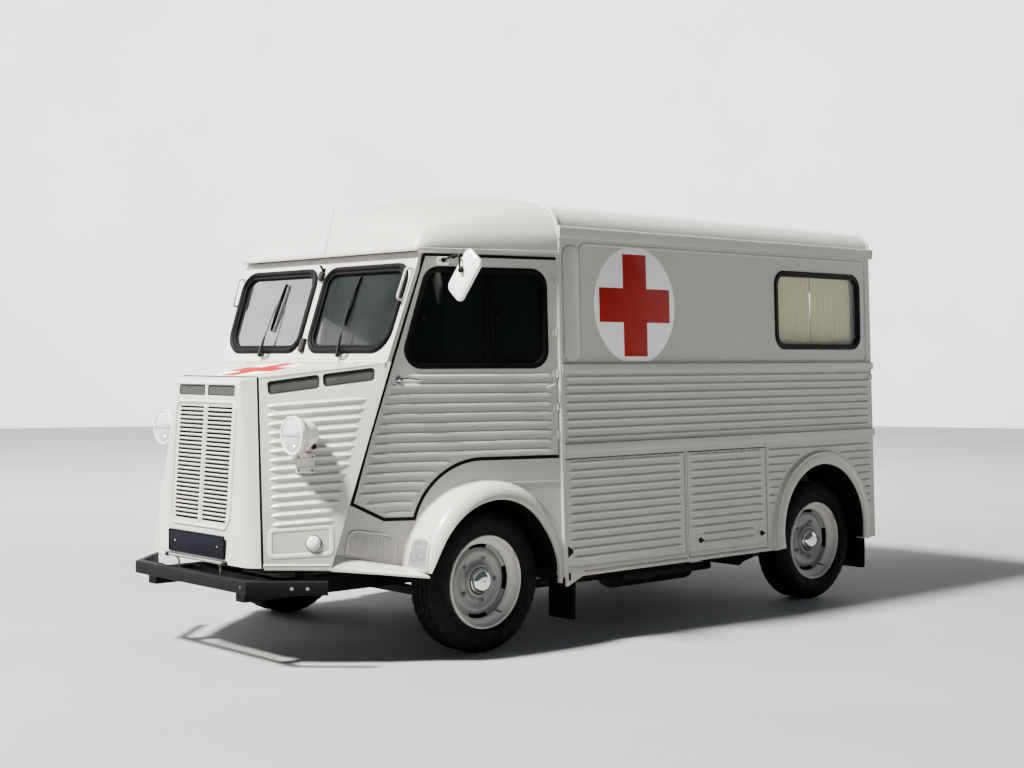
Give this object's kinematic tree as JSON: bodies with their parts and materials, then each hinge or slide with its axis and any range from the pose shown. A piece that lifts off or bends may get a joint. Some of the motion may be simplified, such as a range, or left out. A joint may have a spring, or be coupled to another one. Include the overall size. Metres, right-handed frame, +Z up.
{
  "type": "military ambulance truck",
  "caption": "Forward-control box-bodied ambulance van with ribbed panels, rear-hinged cab doors, side hatches, sliding side door, tailgate, steered and rolling wheels.",
  "frame": {"origin": "on the ground under the middle of the vehicle's bounding box", "axes": "+X to the vehicle's left, -Y to its front, +Z up"},
  "size_m": [2.05, 4.184, 2.2759],
  "materials": {
    "body_paint": "semi-gloss warm light grey paint",
    "chassis_paint": "matt black paint",
    "floor_paint": "satin grey paint",
    "engine_metal": "cast",
    "exhaust_metal": "dull",
    "bumper_paint": "satin charcoal paint",
    "plate_paint": "satin black, blank",
    "lamp_paint": "semi-gloss warm light grey paint",
    "clear_glass": "clear",
    "seat_vinyl": "grained black vinyl",
    "curtain_cloth": "plain cream cotton",
    "flap_rubber": "matt",
    "wheel_paint": "silver grey paint",
    "tyre_rubber": "matt",
    "control_plastic": "gloss black",
    "mirror_shell": "gloss white"
  },
  "bodies": {
    "vehicle_body": {"frame_rails": "chassis_paint", "cross_members": "chassis_paint", "load_floor": "floor_paint", "cab_floor": "floor_paint", "engine_block": "engine_metal", "front_axle": "chassis_paint", "rear_axle": "chassis_paint", "exhaust": "exhaust_metal", "fuel_tank": "chassis_paint", "box_side_left": "body_paint", "box_side_right": "body_paint", "box_roof": "body_paint", "rear_frame": "body_paint", "cab_roof": "body_paint", "cab_sides": "body_paint", "front_fenders": "body_paint", "front_side_panels": "body_paint", "nose_panel": "body_paint", "grille": "body_paint", "windscreen_frame": "body_paint", "windscreen_glass": "clear_glass", "front_bumper": "bumper_paint", "number_plate": "plate_paint", "headlights": "lamp_paint", "dashboard": "floor_paint", "steering_column": "control_plastic", "seat_frames": "floor_paint", "seat_cushions": "seat_vinyl", "flank_windows": "clear_glass", "curtains": "curtain_cloth", "mud_flaps": "flap_rubber"},
    "hood": {"hood": "body_paint"},
    "cab_door_left": {"cab_door_left": "body_paint", "cab_door_glass_left": "clear_glass", "door_mirror": "mirror_shell"},
    "cab_door_right": {"cab_door_right": "body_paint", "cab_door_glass_right": "clear_glass"},
    "side_hatch_front": {"side_hatch_front": "body_paint"},
    "side_hatch_rear": {"side_hatch_rear": "body_paint"},
    "sliding_door": {"sliding_door": "body_paint"},
    "tailgate": {"tailgate": "body_paint", "tailgate_glass": "clear_glass"},
    "rear_door_left": {"rear_door_left": "body_paint"},
    "rear_door_right": {"rear_door_right": "body_paint"},
    "knuckle_left": {"knuckle_left": "chassis_paint"},
    "knuckle_right": {"knuckle_right": "chassis_paint"},
    "steering_wheel": {"steering_wheel": "control_plastic"},
    "wheel_front_left": {"tyre_front_left": "tyre_rubber", "rim_front_left": "wheel_paint"},
    "wheel_front_right": {"tyre_front_right": "tyre_rubber", "rim_front_right": "wheel_paint"},
    "wheel_rear_left": {"tyre_rear_left": "tyre_rubber", "rim_rear_left": "wheel_paint"},
    "wheel_rear_right": {"tyre_rear_right": "tyre_rubber", "rim_rear_right": "wheel_paint"}
  },
  "joints": [
    {"name": "steer_left", "type": "hinge", "parent": "vehicle_body", "child": "knuckle_left", "pos_m": [0.735, -0.992, 0.342], "axis": [0, 0, 1], "range_deg": [-30, 30]},
    {"name": "steer_right", "type": "hinge", "parent": "vehicle_body", "child": "knuckle_right", "pos_m": [-0.735, -0.992, 0.342], "axis": [0, 0, 1], "range_deg": [-30, 30]},
    {"name": "steering_wheel_turn", "type": "hinge", "parent": "vehicle_body", "child": "steering_wheel", "pos_m": [0.4, -1.196, 1.18], "axis": [0, 0.5, 0.866], "range_deg": [-480, 480]},
    {"name": "roll_front_left", "type": "hinge", "parent": "knuckle_left", "child": "wheel_front_left", "pos_m": [0.811, -0.992, 0.342], "axis": [1, 0, 0], "continuous": true},
    {"name": "roll_front_right", "type": "hinge", "parent": "knuckle_right", "child": "wheel_front_right", "pos_m": [-0.811, -0.992, 0.342], "axis": [1, 0, 0], "continuous": true},
    {"name": "roll_rear_left", "type": "hinge", "parent": "vehicle_body", "child": "wheel_rear_left", "pos_m": [0.832, 1.56, 0.342], "axis": [1, 0, 0], "continuous": true},
    {"name": "roll_rear_right", "type": "hinge", "parent": "vehicle_body", "child": "wheel_rear_right", "pos_m": [-0.832, 1.56, 0.342], "axis": [1, 0, 0], "continuous": true},
    {"name": "cab_door_left_hinge", "type": "hinge", "parent": "vehicle_body", "child": "cab_door_left", "pos_m": [0.9619, -0.567, 1.4], "axis": [-0.0349, 0, 0.9994], "range_deg": [0, 80]},
    {"name": "cab_door_right_hinge", "type": "hinge", "parent": "vehicle_body", "child": "cab_door_right", "pos_m": [-0.9619, -0.567, 1.4], "axis": [-0.0349, 0, -0.9994], "range_deg": [0, 80]},
    {"name": "hood_hinge", "type": "hinge", "parent": "vehicle_body", "child": "hood", "pos_m": [0, -1.474, 1.3965], "axis": [-1, 0, 0], "range_deg": [0, 50]},
    {"name": "side_hatch_front_hinge", "type": "hinge", "parent": "vehicle_body", "child": "side_hatch_front", "pos_m": [0.9767, -0.1, 0.9155], "axis": [0, -1, 0], "range_deg": [0, 95]},
    {"name": "side_hatch_rear_hinge", "type": "hinge", "parent": "vehicle_body", "child": "side_hatch_rear", "pos_m": [0.9767, 0.69, 0.9155], "axis": [0, -1, 0], "range_deg": [0, 95]},
    {"name": "sliding_door_slide", "type": "slide", "parent": "vehicle_body", "child": "sliding_door", "axis": [0, 1, 0], "range_m": [0, 0.74]},
    {"name": "tailgate_hinge", "type": "hinge", "parent": "vehicle_body", "child": "tailgate", "pos_m": [0, 2.061, 1.965], "axis": [1, 0, 0], "range_deg": [0, 95]},
    {"name": "rear_door_left_hinge", "type": "hinge", "parent": "vehicle_body", "child": "rear_door_left", "pos_m": [0.719, 2.061, 0.85], "axis": [0, 0, -1], "range_deg": [0, 110]},
    {"name": "rear_door_right_hinge", "type": "hinge", "parent": "vehicle_body", "child": "rear_door_right", "pos_m": [-0.719, 2.061, 0.85], "axis": [0, 0, 1], "range_deg": [0, 110]}
  ],
  "couplings": [
    {"joint": "steer_right", "follows": "steer_left", "ratio": 1},
    {"joint": "steering_wheel_turn", "follows": "steer_left", "ratio": 16}
  ]
}
